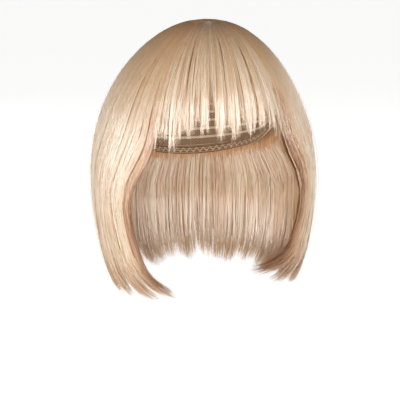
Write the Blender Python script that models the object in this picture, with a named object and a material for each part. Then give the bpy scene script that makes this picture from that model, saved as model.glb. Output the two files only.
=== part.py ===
"""Blonde bob wig with a fringe, as it sits on an upright head.

+Z is up and the face opening looks along -Y, so +X is the wearer's left. The origin is the inside
of the cap at the top of the head. Sizes are in metres and angles in degrees. An azimuth is measured
around the whorl, the point that all hair falls from: 0 is the forehead, 90 the wearer's left ear,
180 the nape and -90 the wearer's right ear.
"""

import math
from dataclasses import dataclass

import bmesh
import bpy
from mathutils import Vector

# The head that the cap is cut for
HEAD_BREADTH = 0.148
HEAD_LENGTH = 0.188
HEAD_CROWN = 0.078
NAPE_TAPER = 0.35

# The cap and the elastic inside its edge
CAP_WALL = 0.0015
BAND_WALL = 0.0012
BAND_WIDTH = 0.012
SEAM_GAP = 0.0003

# The hair, measured from the head that it covers
WHORL_OFFSET_X = 0.001
WHORL_OFFSET_Y = -0.018
WHORL_RADIUS = 0.020
CROWN_LIFT = 0.013
HAIR_BODY = 0.042
HAIR_DROP = 0.267
HAIR_TUCK = 0.052
FRINGE_DROP = 0.097
HAIR_REST = 0.0008
CURTAIN_WALL = 0.015
FRINGE_WALL = 0.007
TIP_WALL = 0.0035
GROOVE_DEPTH = 0.0028
SECTION_GAP = 0.0004

# How finely the surfaces are cut into rows and columns
CAP_COLUMNS = 48
CAP_ROWS = 7
WHORL_COLUMNS = 32
PATH_POINTS = 48

# Hair and cap colours (linear), roughness
BLONDE = (0.80, 0.62, 0.42, 1.0)
CAP_COLOUR = (0.62, 0.47, 0.33, 1.0)
BAND_COLOUR = (0.55, 0.40, 0.28, 1.0)


@dataclass(frozen=True)
class Fall:
    """How the hair falls at one azimuth on either side of the face."""

    azimuth: float
    body: float  # stand-off from the head where the hair is widest, as a share of HAIR_BODY
    widest: float  # depth of the widest place, as a share of HAIR_DROP
    drop: float  # depth of the tips, as a share of HAIR_DROP
    tuck: float  # how far the tips turn in, as a share of HAIR_TUCK
    hold: float  # how far below the widest place the hair still hangs straight, as a share
    sweep: float  # how level the tips turn in, as a share of the tuck
    lift: float  # how much higher the tips are on the wearer's left, as a share of HAIR_DROP


FALLS = (
    #    azimuth  body  widest  drop  tuck  hold  sweep  lift
    Fall(0, 0.24, 0.285, 0.46, 0.05, 0.50, 0.60, 0.00),
    Fall(25, 0.26, 0.320, 0.60, 0.15, 0.50, 0.60, 0.00),
    Fall(50, 0.42, 0.460, 0.97, 0.97, 0.45, 0.60, 0.08),
    Fall(65, 0.71, 0.535, 0.99, 0.66, 0.45, 0.62, 0.04),
    Fall(90, 0.94, 0.550, 0.98, 0.50, 0.42, 0.65, 0.00),
    Fall(110, 0.94, 0.525, 0.97, 0.92, 0.55, 0.64, 0.00),
    Fall(130, 0.86, 0.490, 0.97, 0.90, 0.60, 0.70, 0.00),
    Fall(155, 0.66, 0.420, 0.97, 0.85, 0.58, 0.65, 0.00),
    Fall(180, 0.60, 0.380, 0.96, 0.85, 0.58, 0.65, 0.00),
)


@dataclass(frozen=True)
class Rim:
    """Depth of the cap's edge at one azimuth."""

    azimuth: float
    depth: float  # as a share of the way from the top of the head to the nape edge


NAPE_EDGE = 0.138
RIMS = (
    Rim(0, 0.33),
    Rim(30, 0.36),
    Rim(60, 0.62),
    Rim(80, 0.76),
    Rim(100, 0.70),
    Rim(130, 0.88),
    Rim(180, 1.00),
)


@dataclass(frozen=True)
class Lock:
    """One lock of a section."""

    width: float  # relative to the other locks of its section
    length: float  # how far it reaches, as a share of the section's own length
    notch: float  # how much shorter the hair is beside it, on its far side, as a share


FRINGE_LOCKS = (
    Lock(0.8, 1.04, 0.05),
    Lock(1.1, 1.05, 0.07),
    Lock(1.0, 1.00, 0.09),
    Lock(1.0, 0.97, 0.24),
    Lock(1.0, 1.00, 0.10),
    Lock(0.9, 1.02, 0.12),
    Lock(1.1, 0.98, 0.07),
    Lock(0.9, 0.96, 0.10),
    Lock(1.1, 0.98, 0.16),
    Lock(0.8, 1.01, 0.05),
)
SIDE_LOCKS = (
    Lock(0.8, 0.985, 0.035),
    Lock(1.0, 1.000, 0.025),
    Lock(1.1, 0.990, 0.030),
    Lock(1.0, 1.000, 0.020),
    Lock(1.2, 0.985, 0.030),
    Lock(1.0, 0.995, 0.025),
)
NAPE_LOCKS = (
    Lock(1.0, 0.995, 0.025),
    Lock(1.2, 0.980, 0.030),
    Lock(0.9, 1.000, 0.035),
)
BACK_LOCKS = (
    Lock(1.1, 0.985, 0.030),
    Lock(0.9, 1.000, 0.025),
    Lock(1.1, 0.990, 0.030),
)

# Across a lock: place between its two grooves, and how far its surface stands up
CREST = ((0.0, 0.0), (0.22, 0.80), (0.5, 1.0), (0.78, 0.80))

FRINGE_EDGE = 50
BACK_EDGE = 122
NAPE_SEAM = 161


@dataclass(frozen=True)
class EdgeSwing:
    """Azimuth of the curtain's front edge at one share of its length."""

    share: float
    azimuth: float


FACE_EDGE = (
    EdgeSwing(0.00, FRINGE_EDGE),
    EdgeSwing(0.42, FRINGE_EDGE),
    EdgeSwing(0.68, 65),
    EdgeSwing(0.84, 61),
    EdgeSwing(1.00, 49),
)


def clear_scene():
    for obj in list(bpy.data.objects):
        bpy.data.objects.remove(obj, do_unlink=True)


def finish_of(name, colour, roughness):
    """A Principled material of one colour."""
    material = bpy.data.materials.new(name)
    material.use_nodes = True
    shader = material.node_tree.nodes["Principled BSDF"]
    shader.inputs["Base Color"].default_value = colour
    shader.inputs["Roughness"].default_value = roughness
    shader.inputs["Metallic"].default_value = 0.0
    return material


def eased(share):
    """0 to 1 with a level start and end."""
    share = min(1.0, max(0.0, share))
    return share * share * (3 - 2 * share)


def between(low, high, share):
    return low + (high - low) * share


def around(rows, azimuth, column):
    """A column of a table of azimuths, smoothly between its rows and mirrored past 0 and 180."""
    place = abs((azimuth + 180) % 360 - 180)
    last = len(rows) - 1
    index = max(i for i in range(last) if rows[i].azimuth <= place)

    def value(i):
        i = -i if i < 0 else (2 * last - i if i > last else i)
        return getattr(rows[i], column)

    def at(i):
        if i < 0:
            return -rows[-i].azimuth
        return 360 - rows[2 * last - i].azimuth if i > last else rows[i].azimuth

    low, high = rows[index].azimuth, rows[index + 1].azimuth
    share = (place - low) / (high - low)
    slope_low = (value(index + 1) - value(index - 1)) / (at(index + 1) - at(index - 1)) * (high - low)
    slope_high = (value(index + 2) - value(index)) / (at(index + 2) - at(index)) * (high - low)
    square, cube = share**2, share**3
    return (
        (2 * cube - 3 * square + 1) * value(index)
        + (cube - 2 * square + share) * slope_low
        + (3 * square - 2 * cube) * value(index + 1)
        + (cube - square) * slope_high
    )


def direction(azimuth):
    turn = math.radians(azimuth)
    return Vector((math.sin(turn), -math.cos(turn), 0))


def placed(azimuth, reach, height):
    """The point that far out from the whorl's upright axis."""
    return Vector((WHORL_OFFSET_X, WHORL_OFFSET_Y, height)) + direction(azimuth) * reach


def head_reach(azimuth, grow):
    """From the whorl's axis to the head's widest outline, with the head grown by that much."""
    across, along = HEAD_BREADTH / 2 + grow, HEAD_LENGTH / 2 + grow
    way = direction(azimuth)
    square = (way.x / across) ** 2 + (way.y / along) ** 2
    cross = WHORL_OFFSET_X * way.x / across**2 + WHORL_OFFSET_Y * way.y / along**2
    rest = 1 - (WHORL_OFFSET_X / across) ** 2 - (WHORL_OFFSET_Y / along) ** 2
    return (math.sqrt(cross**2 + square * rest) - cross) / square


def head_point(azimuth, swing, grow):
    """A point on the grown head: swing is 0 at the whorl, 90 at the widest level, more below."""
    reach = head_reach(azimuth, grow)
    if swing > 90:
        depth = HEAD_CROWN * (swing - 90) / 90
        reach *= 1 - NAPE_TAPER * (depth / HEAD_CROWN) ** 2
        return placed(azimuth, reach, -HEAD_CROWN - depth)
    point = placed(azimuth, reach * math.sin(math.radians(swing)), 0)
    across, along = HEAD_BREADTH / 2 + grow, HEAD_LENGTH / 2 + grow
    level = max(0.0, 1 - (point.x / across) ** 2 - (point.y / along) ** 2)
    point.z = (HEAD_CROWN + grow) * math.sqrt(level) - HEAD_CROWN
    return point


def rim_depth(azimuth):
    return NAPE_EDGE * around(RIMS, azimuth, "depth")


def rim_swing(azimuth):
    """The swing at which the cap ends."""
    depth = rim_depth(azimuth)
    if depth >= HEAD_CROWN:
        return 90 * depth / HEAD_CROWN
    low, high = 0.0, 90.0
    for _ in range(30):
        middle = (low + high) / 2
        if -head_point(azimuth, middle, 0).z < depth:
            low = middle
        else:
            high = middle
    return low


def band_swing(azimuth):
    """The swing at which the elastic band starts, which is also the cap's last row but one."""
    return rim_swing(azimuth) - math.degrees(BAND_WIDTH / HEAD_CROWN)


def cap_swing(azimuth, row):
    """The swing of a row of the cap: 1 lies under the whorl's edge and CAP_ROWS is the rim."""
    if row == CAP_ROWS:
        return rim_swing(azimuth)
    start = math.degrees(math.asin(WHORL_RADIUS / head_reach(azimuth, 0)))
    return between(start, band_swing(azimuth), (row - 1) / (CAP_ROWS - 2))


def curve_point(controls, share):
    """A point of a cubic Bezier curve, as (reach, height)."""
    rest = 1 - share
    weights = (rest**3, 3 * rest**2 * share, 3 * rest * share**2, share**3)
    return tuple(sum(w * c[axis] for w, c in zip(weights, controls)) for axis in (0, 1))


class HairPath:
    """The outer surface of the hair in one upright half-plane through the whorl."""

    TOP_ROUND = 0.50  # the Bezier handle at the crown, as a share of the reach
    SIDE_ROUND = 0.51  # the Bezier handle above the widest place, as a share of its depth
    TIP_SLOPE = 0.25  # how steeply the tips still fall, as a share of the tuck

    def __init__(self, azimuth):
        reach = head_reach(azimuth, CAP_WALL) + HAIR_BODY * around(FALLS, azimuth, "body")
        widest = -HAIR_DROP * around(FALLS, azimuth, "widest")
        lift = around(FALLS, azimuth, "lift") if azimuth % 360 < 180 else 0.0
        drop = -HAIR_DROP * (around(FALLS, azimuth, "drop") - lift)
        tuck = HAIR_TUCK * around(FALLS, azimuth, "tuck")
        hold = around(FALLS, azimuth, "hold")
        sweep = around(FALLS, azimuth, "sweep")
        top = CROWN_LIFT
        crown = (
            (0, top),
            (reach * self.TOP_ROUND, top),
            (reach, widest + (top - widest) * self.SIDE_ROUND),
            (reach, widest),
        )
        fall = (
            (reach, widest),
            (reach, widest + (drop - widest) * hold),
            (reach - tuck * (1 - sweep), drop + tuck * self.TIP_SLOPE),
            (reach - tuck, drop),
        )
        half = PATH_POINTS // 2
        self.points = [curve_point(crown, i / half) for i in range(half)]
        self.points += [curve_point(fall, i / half) for i in range(half + 1)]
        self.along = [0.0]
        for before, after in zip(self.points, self.points[1:]):
            self.along.append(self.along[-1] + math.dist(before, after))
        self.length = self.along[-1]

    def at(self, share):
        """(reach, height, outward reach, outward height) at that share of the path's length."""
        target = share * self.length
        index = 0
        while index < len(self.points) - 2 and self.along[index + 1] < target:
            index += 1
        before, after = self.points[index], self.points[index + 1]
        step = self.along[index + 1] - self.along[index]
        part = (target - self.along[index]) / step
        reach, height = (between(before[k], after[k], part) for k in (0, 1))
        return reach, height, -(after[1] - before[1]) / step, (after[0] - before[0]) / step

    def share_before(self, is_before):
        """The share of the path's length at which is_before(reach, depth) turns false."""
        low, high = 0.0, 1.0
        for _ in range(24):
            middle = (low + high) / 2
            reach, height, _, _ = self.at(middle)
            if is_before(reach, -height):
                low = middle
            else:
                high = middle
        return low

    def share_at_depth(self, depth):
        return self.share_before(lambda reach, found: found < depth)

    def share_at_whorl(self, radius):
        return self.share_before(lambda reach, found: reach < radius)


PATHS = {}


def path_at(azimuth):
    key = round(azimuth, 3)
    if key not in PATHS:
        PATHS[key] = HairPath(key)
    return PATHS[key]


def edge_azimuth(rows, share):
    """The azimuth of a curtain's front edge, eased between the rows of its table."""
    for before, after in zip(rows, rows[1:]):
        if share <= after.share:
            part = eased((share - before.share) / (after.share - before.share))
            return between(before.azimuth, after.azimuth, part)
    return rows[-1].azimuth


@dataclass(frozen=True)
class Column:
    """One line of points down a section, from the whorl to the tips."""

    place: float  # across the section, 0 to 1
    crest: float  # 0 in a groove, 1 on a lock's crest
    length: float  # how far down it reaches, as a share of the section's length


@dataclass(frozen=True)
class Section:
    """A section of hair sewn to the cap: a wall of locks that runs from the whorl to the tips."""

    name: str
    start: float
    end: float
    locks: tuple
    wall: float
    rows: int
    fringe: bool = False
    face_side: int = 0  # -1 where it starts at the face opening, 1 where it ends there

    def columns(self):
        total = sum(lock.width for lock in self.locks)
        found, place, notch = [], 0.0, self.locks[-1].notch
        for lock in self.locks:
            for part, crest in CREST:
                short = notch if part < 0.5 else lock.notch
                length = lock.length - short * (1 - crest)
                found.append(Column(place + lock.width / total * part, crest, length))
            place += lock.width / total
            notch = lock.notch
        last = self.locks[-1]
        found.append(Column(1.0, 0.0, last.length - last.notch))
        return found

    def azimuth(self, place, share):
        """Where a column is at that share of its length."""
        if not self.face_side:
            return between(self.start, self.end, place)
        edge = edge_azimuth(FACE_EDGE, share)
        if self.face_side < 0:
            return between(edge, self.end, place)
        return between(self.start, -edge, place)

    def reaches(self, column):
        """The share of the path's length that a column covers."""
        if not self.fringe:
            return column.length
        path = path_at(self.azimuth(column.place, 0))
        return path.share_at_depth(FRINGE_DROP) * column.length

    def wall_at(self, column, part):
        """The hair's thickness below the cap: thinner towards the tips and the face opening."""
        wall = between(self.wall, TIP_WALL, eased((part - 0.45) / 0.55))
        if self.face_side:
            inset = column.place if self.face_side < 0 else 1 - column.place
            wall *= between(0.5, 1.0, eased(inset / 0.3))
        return wall

    def line(self, column, aside):
        """The outer and inner points of a column, moved aside by the gap to the next section."""
        outer, inner = [], []
        end = self.reaches(column)
        top_azimuth = self.azimuth(column.place, 0)
        top_path = path_at(top_azimuth)
        first = top_path.share_at_whorl(WHORL_RADIUS)
        rim = top_path.share_at_depth(rim_depth(top_azimuth))
        grow = CAP_WALL + HAIR_REST
        rim_wall = 0.0
        for row in range(1, CAP_ROWS + self.rows + 1):
            on_cap = row <= CAP_ROWS
            free = 0.0 if on_cap else (row - CAP_ROWS) / self.rows
            share = between(first, rim, (row - 1) / (CAP_ROWS - 1)) if on_cap else between(rim, end, free)
            azimuth = self.azimuth(column.place, share)
            reach, height, out_reach, out_height = path_at(azimuth).at(share)
            groove = GROOVE_DEPTH * (1 - column.crest) * eased((share - first) / 0.4)
            shift = Vector((math.cos(math.radians(azimuth)), math.sin(math.radians(azimuth)), 0)) * aside
            point = placed(azimuth, reach - out_reach * groove, height - out_height * groove)
            outer.append(point + shift)
            if on_cap:
                under = head_point(azimuth, cap_swing(azimuth, row), grow)
                rim_wall = math.dist(placed(azimuth, reach, height), under)
            else:
                wall = between(rim_wall, self.wall_at(column, free), eased(free / 0.4))
                under = placed(azimuth, reach - out_reach * wall, height - out_height * wall)
            inner.append(under + shift)
        return outer, inner


SECTIONS = (
    Section("hair_fringe", -FRINGE_EDGE, FRINGE_EDGE, FRINGE_LOCKS, FRINGE_WALL, 5, fringe=True),
    Section("hair_side_left", FRINGE_EDGE, BACK_EDGE, SIDE_LOCKS, CURTAIN_WALL, 9, face_side=-1),
    Section("hair_back_left", BACK_EDGE, NAPE_SEAM, NAPE_LOCKS, CURTAIN_WALL, 9),
    Section("hair_back", NAPE_SEAM, 360 - NAPE_SEAM, BACK_LOCKS, CURTAIN_WALL, 9),
    Section(
        "hair_back_right",
        360 - NAPE_SEAM,
        360 - BACK_EDGE,
        tuple(reversed(NAPE_LOCKS)),
        CURTAIN_WALL,
        9,
    ),
    Section(
        "hair_side_right",
        -BACK_EDGE,
        -FRINGE_EDGE,
        tuple(reversed(SIDE_LOCKS)),
        CURTAIN_WALL,
        9,
        face_side=1,
    ),
)


def object_from(name, mesh, material):
    """Links the bmesh as an object, shaded smooth between its sharp edges."""
    bmesh.ops.recalc_face_normals(mesh, faces=mesh.faces)
    data = bpy.data.meshes.new(name)
    mesh.to_mesh(data)
    mesh.free()
    data.shade_smooth()
    data.set_sharp_from_angle(angle=math.radians(50))
    data.materials.append(material)
    obj = bpy.data.objects.new(name, data)
    bpy.context.scene.collection.objects.link(obj)
    return obj


def skin(mesh, before, after, flip=False):
    """Faces between two lines of points of the same count."""
    for a, b, c, d in zip(before, before[1:], after[1:], after):
        mesh.faces.new((a, d, c, b) if flip else (a, b, c, d))


def build_section(section, material):
    mesh = bmesh.new()
    columns = section.columns()
    lines = []
    for index, column in enumerate(columns):
        aside = SECTION_GAP / 2 * ((index == 0) - (index == len(columns) - 1))
        outer, inner = section.line(column, aside)
        lines.append([[mesh.verts.new(p) for p in outer], [mesh.verts.new(p) for p in inner]])
    for (outer_a, inner_a), (outer_b, inner_b) in zip(lines, lines[1:]):
        skin(mesh, outer_a, outer_b)
        skin(mesh, inner_a, inner_b, flip=True)
        mesh.faces.new((outer_a[0], outer_b[0], inner_b[0], inner_a[0]))
        mesh.faces.new((outer_a[-1], inner_a[-1], inner_b[-1], outer_b[-1]))
    for outer, inner in (lines[0], lines[-1]):
        skin(mesh, outer, inner)
    return object_from(section.name, mesh, material)


def rings(mesh, count, row_points):
    """Closed rings of points: row_points(azimuth) gives one line of points, from first to last."""
    lines = [row_points(360 * i / count) for i in range(count)]
    return [[mesh.verts.new(line[row]) for line in lines] for row in range(len(lines[0]))]


def bridge(mesh, ring_a, ring_b):
    for i in range(len(ring_a)):
        j = (i + 1) % len(ring_a)
        mesh.faces.new((ring_a[i], ring_a[j], ring_b[j], ring_b[i]))


def close_pole(mesh, point, ring):
    pole = mesh.verts.new(point)
    for i in range(len(ring)):
        mesh.faces.new((pole, ring[i], ring[(i + 1) % len(ring)]))


def build_cap(material):
    """The wig cap: a stretch-net dome from the forehead, over the ears, to the nape."""
    mesh = bmesh.new()

    def wall(grow):
        return lambda azimuth: [
            head_point(azimuth, cap_swing(azimuth, row), grow) for row in range(1, CAP_ROWS + 1)
        ]

    inner = rings(mesh, CAP_COLUMNS, wall(0))
    outer = rings(mesh, CAP_COLUMNS, wall(CAP_WALL))
    for shell, grow in ((inner, 0), (outer, CAP_WALL)):
        close_pole(mesh, head_point(0, 0, grow), shell[0])
        for ring_a, ring_b in zip(shell, shell[1:]):
            bridge(mesh, ring_a, ring_b)
    bridge(mesh, inner[-1], outer[-1])
    return object_from("cap", mesh, material)


def build_band(material):
    """The elastic that grips the head, inside the cap's edge."""
    mesh = bmesh.new()

    def loop(azimuth):
        start, end = band_swing(azimuth), rim_swing(azimuth)
        inside = -SEAM_GAP - BAND_WALL
        return [
            head_point(azimuth, start, -SEAM_GAP),
            head_point(azimuth, end, -SEAM_GAP),
            head_point(azimuth, end, inside),
            head_point(azimuth, start, inside),
        ]

    loops = rings(mesh, CAP_COLUMNS, loop)
    for ring_a, ring_b in zip(loops, loops[1:] + loops[:1]):
        bridge(mesh, ring_a, ring_b)
    return object_from("edge_band", mesh, material)


def build_whorl(material):
    """The small closed weft that all the hair falls from."""
    mesh = bmesh.new()
    radius = WHORL_RADIUS - SECTION_GAP
    grow = CAP_WALL + HAIR_REST

    def top(azimuth):
        path = path_at(azimuth)
        points = [path.at(path.share_at_whorl(radius * part)) for part in (0.6, 1.0)]
        return [placed(azimuth, reach, height) for reach, height, _, _ in points]

    def bottom(azimuth):
        swing = math.degrees(math.asin(radius / head_reach(azimuth, grow)))
        return [head_point(azimuth, swing, grow)]

    top_rings = rings(mesh, WHORL_COLUMNS, top)
    bottom_rings = rings(mesh, WHORL_COLUMNS, bottom)
    close_pole(mesh, placed(0, 0, CROWN_LIFT), top_rings[0])
    bridge(mesh, top_rings[0], top_rings[1])
    bridge(mesh, top_rings[1], bottom_rings[0])
    close_pole(mesh, head_point(0, 0, grow), bottom_rings[0])
    return object_from("hair_whorl", mesh, material)


def main():
    clear_scene()
    hair = finish_of("hair", BLONDE, 0.35)
    build_cap(finish_of("cap_net", CAP_COLOUR, 0.8))
    build_band(finish_of("elastic", BAND_COLOUR, 0.7))
    build_whorl(hair)
    for section in SECTIONS:
        build_section(section, hair)


main()
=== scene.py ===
"""The looks of the blonde bob wig: its strands of hair, its net cap and the studio that it is shown in.

+Z is up and the face opening looks along -Y, so +X is the wearer's left. The origin is the inside
of the cap at the top of the head. Sizes are in metres and angles in degrees. An azimuth is measured
around the whorl that all the hair falls from: 0 is the forehead, 90 the wearer's left ear and 180
the nape. A share is a part of the hair's way from the whorl, at 0, to the tips, at 1.
"""

import logging
import math
from dataclasses import dataclass, field
from enum import Enum
from typing import Callable

import bmesh
import bpy
import numpy as np
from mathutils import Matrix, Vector


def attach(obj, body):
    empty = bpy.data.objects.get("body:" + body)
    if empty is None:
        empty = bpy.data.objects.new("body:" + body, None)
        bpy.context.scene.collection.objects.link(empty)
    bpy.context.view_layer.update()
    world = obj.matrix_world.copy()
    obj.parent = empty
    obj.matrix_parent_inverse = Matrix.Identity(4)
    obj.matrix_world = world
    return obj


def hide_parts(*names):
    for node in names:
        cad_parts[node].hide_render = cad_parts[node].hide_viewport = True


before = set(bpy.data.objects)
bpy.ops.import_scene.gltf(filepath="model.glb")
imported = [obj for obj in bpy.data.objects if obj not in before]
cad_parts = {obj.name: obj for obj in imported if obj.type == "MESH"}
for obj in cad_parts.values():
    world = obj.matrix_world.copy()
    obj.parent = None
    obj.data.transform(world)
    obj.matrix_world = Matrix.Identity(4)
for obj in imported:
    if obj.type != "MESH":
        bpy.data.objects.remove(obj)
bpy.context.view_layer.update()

logging.basicConfig(level=logging.INFO, format="%(message)s")
log = logging.getLogger("bob_wig")

Array = np.ndarray
MM = 0.001


# Tables of the hair's shape


@dataclass(frozen=True)
class Fall:
    """How the hair falls at one azimuth on either side of the face.

    Every length is a share of a size of HairShape: body of its body, widest, drop and lift of its
    drop, and tuck of its tuck. hold is how far below the widest place the hair still hangs
    straight, sweep how level its tips turn in, and lift how much higher the tips are on the
    wearer's left.
    """

    azimuth: float
    body: float
    widest: float
    drop: float
    tuck: float
    hold: float
    sweep: float
    lift: float


FALLS: tuple[Fall, ...] = (
    #    azimuth  body  widest  drop  tuck  hold  sweep  lift
    Fall(0, 0.24, 0.285, 0.46, 0.05, 0.50, 0.60, 0.00),
    Fall(25, 0.26, 0.320, 0.60, 0.15, 0.50, 0.60, 0.00),
    Fall(50, 0.42, 0.460, 0.97, 0.97, 0.45, 0.60, 0.08),
    Fall(65, 0.71, 0.535, 0.99, 0.66, 0.45, 0.62, 0.04),
    Fall(90, 0.94, 0.550, 0.98, 0.50, 0.42, 0.65, 0.00),
    Fall(110, 0.94, 0.525, 0.97, 0.92, 0.55, 0.64, 0.00),
    Fall(130, 0.86, 0.490, 0.97, 0.90, 0.60, 0.70, 0.00),
    Fall(155, 0.66, 0.420, 0.97, 0.85, 0.58, 0.65, 0.00),
    Fall(180, 0.60, 0.380, 0.96, 0.85, 0.58, 0.65, 0.00),
)

# (azimuth, depth of the cap's edge as a share of the nape's)
RIMS: tuple[tuple[float, float], ...] = (
    (0, 0.33),
    (30, 0.36),
    (60, 0.62),
    (80, 0.76),
    (100, 0.70),
    (130, 0.88),
    (180, 1.00),
)

# (width beside its neighbours, length, how much shorter the hair is in the groove after it)
Lock = tuple[float, float, float]

FRINGE_LOCKS: tuple[Lock, ...] = (
    (0.8, 1.04, 0.05),
    (1.1, 1.05, 0.07),
    (1.0, 1.00, 0.09),
    (1.0, 0.97, 0.24),
    (1.0, 1.00, 0.10),
    (0.9, 1.02, 0.12),
    (1.1, 0.98, 0.07),
    (0.9, 0.96, 0.10),
    (1.1, 0.98, 0.16),
    (0.8, 1.01, 0.05),
)
SIDE_LOCKS: tuple[Lock, ...] = (
    (0.8, 0.985, 0.035),
    (1.0, 1.000, 0.025),
    (1.1, 0.990, 0.030),
    (1.0, 1.000, 0.020),
    (1.2, 0.985, 0.030),
    (1.0, 0.995, 0.025),
)
NAPE_LOCKS: tuple[Lock, ...] = (
    (1.0, 0.995, 0.025),
    (1.2, 0.980, 0.030),
    (0.9, 1.000, 0.035),
)
BACK_LOCKS: tuple[Lock, ...] = (
    (1.1, 0.985, 0.030),
    (0.9, 1.000, 0.025),
    (1.1, 0.990, 0.030),
)

# (share, azimuth of the curtain's front edge there)
FACE_EDGE: tuple[tuple[float, float], ...] = (
    (0.00, 50),
    (0.42, 50),
    (0.68, 65),
    (0.84, 61),
    (1.00, 49),
)

FRINGE_EDGE = 50.0
BACK_EDGE = 122.0
NAPE_SEAM = 161.0


def eased(share: Array) -> Array:
    """0 to 1 with a level start and end."""
    share = np.clip(share, 0.0, 1.0)
    return share * share * (3 - 2 * share)


def blended(low: Array, high: Array, share: Array) -> Array:
    """low at share 0, high at share 1."""
    return low + (high - low) * share


def around(rows: tuple[tuple[float, float], ...], azimuth: float) -> float:
    """Reads a table of azimuths smoothly, mirrored past 0 and 180.

    Args:
        rows: pairs of azimuth and value, from 0 to 180.
        azimuth: where to read it.

    Returns:
        The value there.
    """
    mirrored = [(-a, v) for a, v in rows[1:2]] + list(rows) + [(360 - a, v) for a, v in rows[-2:-1]]
    place = abs((azimuth + 180) % 360 - 180)
    index = max(i for i in range(1, len(mirrored) - 2) if mirrored[i][0] <= place)
    (a0, v0), (a1, v1), (a2, v2), (a3, v3) = mirrored[index - 1 : index + 3]
    share = (place - a1) / (a2 - a1)
    slope_low, slope_high = (v2 - v0) / (a2 - a0) * (a2 - a1), (v3 - v1) / (a3 - a1) * (a2 - a1)
    square, cube = share**2, share**3
    return (
        (2 * cube - 3 * square + 1) * v1
        + (cube - 2 * square + share) * slope_low
        + (3 * square - 2 * cube) * v2
        + (cube - square) * slope_high
    )


@dataclass(frozen=True)
class HeadForm:
    """The head that the cap is cut for, and the cap's edge on it."""

    breadth: float = 0.148
    length: float = 0.188
    crown: float = 0.078
    nape_taper: float = 0.35
    nape_edge: float = 0.138
    whorl: tuple[float, float] = (0.001, -0.018)

    def direction(self, azimuth: Array) -> Array:
        """The level unit vector that points that way from the whorl."""
        turn = np.radians(azimuth)
        return np.stack([np.sin(turn), -np.cos(turn), np.zeros_like(turn)], -1)

    def reach(self, azimuth: Array, grow: float) -> Array:
        """How far the widest outline of the head, grown by that much, is from the whorl's axis."""
        across, along = self.breadth / 2 + grow, self.length / 2 + grow
        way = self.direction(np.asarray(azimuth, dtype=float))
        square = (way[..., 0] / across) ** 2 + (way[..., 1] / along) ** 2
        cross = self.whorl[0] * way[..., 0] / across**2 + self.whorl[1] * way[..., 1] / along**2
        rest = 1 - (self.whorl[0] / across) ** 2 - (self.whorl[1] / along) ** 2
        return (np.sqrt(cross**2 + square * rest) - cross) / square

    def point(self, azimuth: Array, swing: Array, grow: float) -> Array:
        """Points on the grown head.

        Args:
            azimuth: around the whorl.
            swing: 0 at the whorl, 90 at the widest level, more below it.
            grow: how far outside the head, in metres.

        Returns:
            Points in the row's frame, one for each azimuth and swing.
        """
        azimuth, swing = np.broadcast_arrays(np.asarray(azimuth, float), np.asarray(swing, float))
        reach = self.reach(azimuth, grow)
        below = self.crown * np.maximum(swing - 90, 0) / 90
        reach = reach * np.where(
            swing > 90,
            1 - self.nape_taper * (below / self.crown) ** 2,
            np.sin(np.radians(np.minimum(swing, 90))),
        )
        found = self.direction(azimuth) * reach[..., None]
        found[..., 0] += self.whorl[0]
        found[..., 1] += self.whorl[1]
        across, along = self.breadth / 2 + grow, self.length / 2 + grow
        level = 1 - (found[..., 0] / across) ** 2 - (found[..., 1] / along) ** 2
        dome = (self.crown + grow) * np.sqrt(np.maximum(level, 0)) - self.crown
        found[..., 2] = np.where(swing > 90, -self.crown - below, dome)
        return found

    def rim_depth(self, azimuth: float) -> float:
        """How far below the top of the head the cap ends."""
        return self.nape_edge * around(RIMS, azimuth)

    def rim_swing(self, azimuth: float) -> float:
        """The swing at which the cap ends."""
        depth = self.rim_depth(azimuth)
        if depth >= self.crown:
            return 90 * depth / self.crown
        low, high = 0.0, 90.0
        for _ in range(24):
            middle = (low + high) / 2
            if -float(self.point(azimuth, middle, 0.0)[2]) < depth:
                low = middle
            else:
                high = middle
        return low


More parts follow.
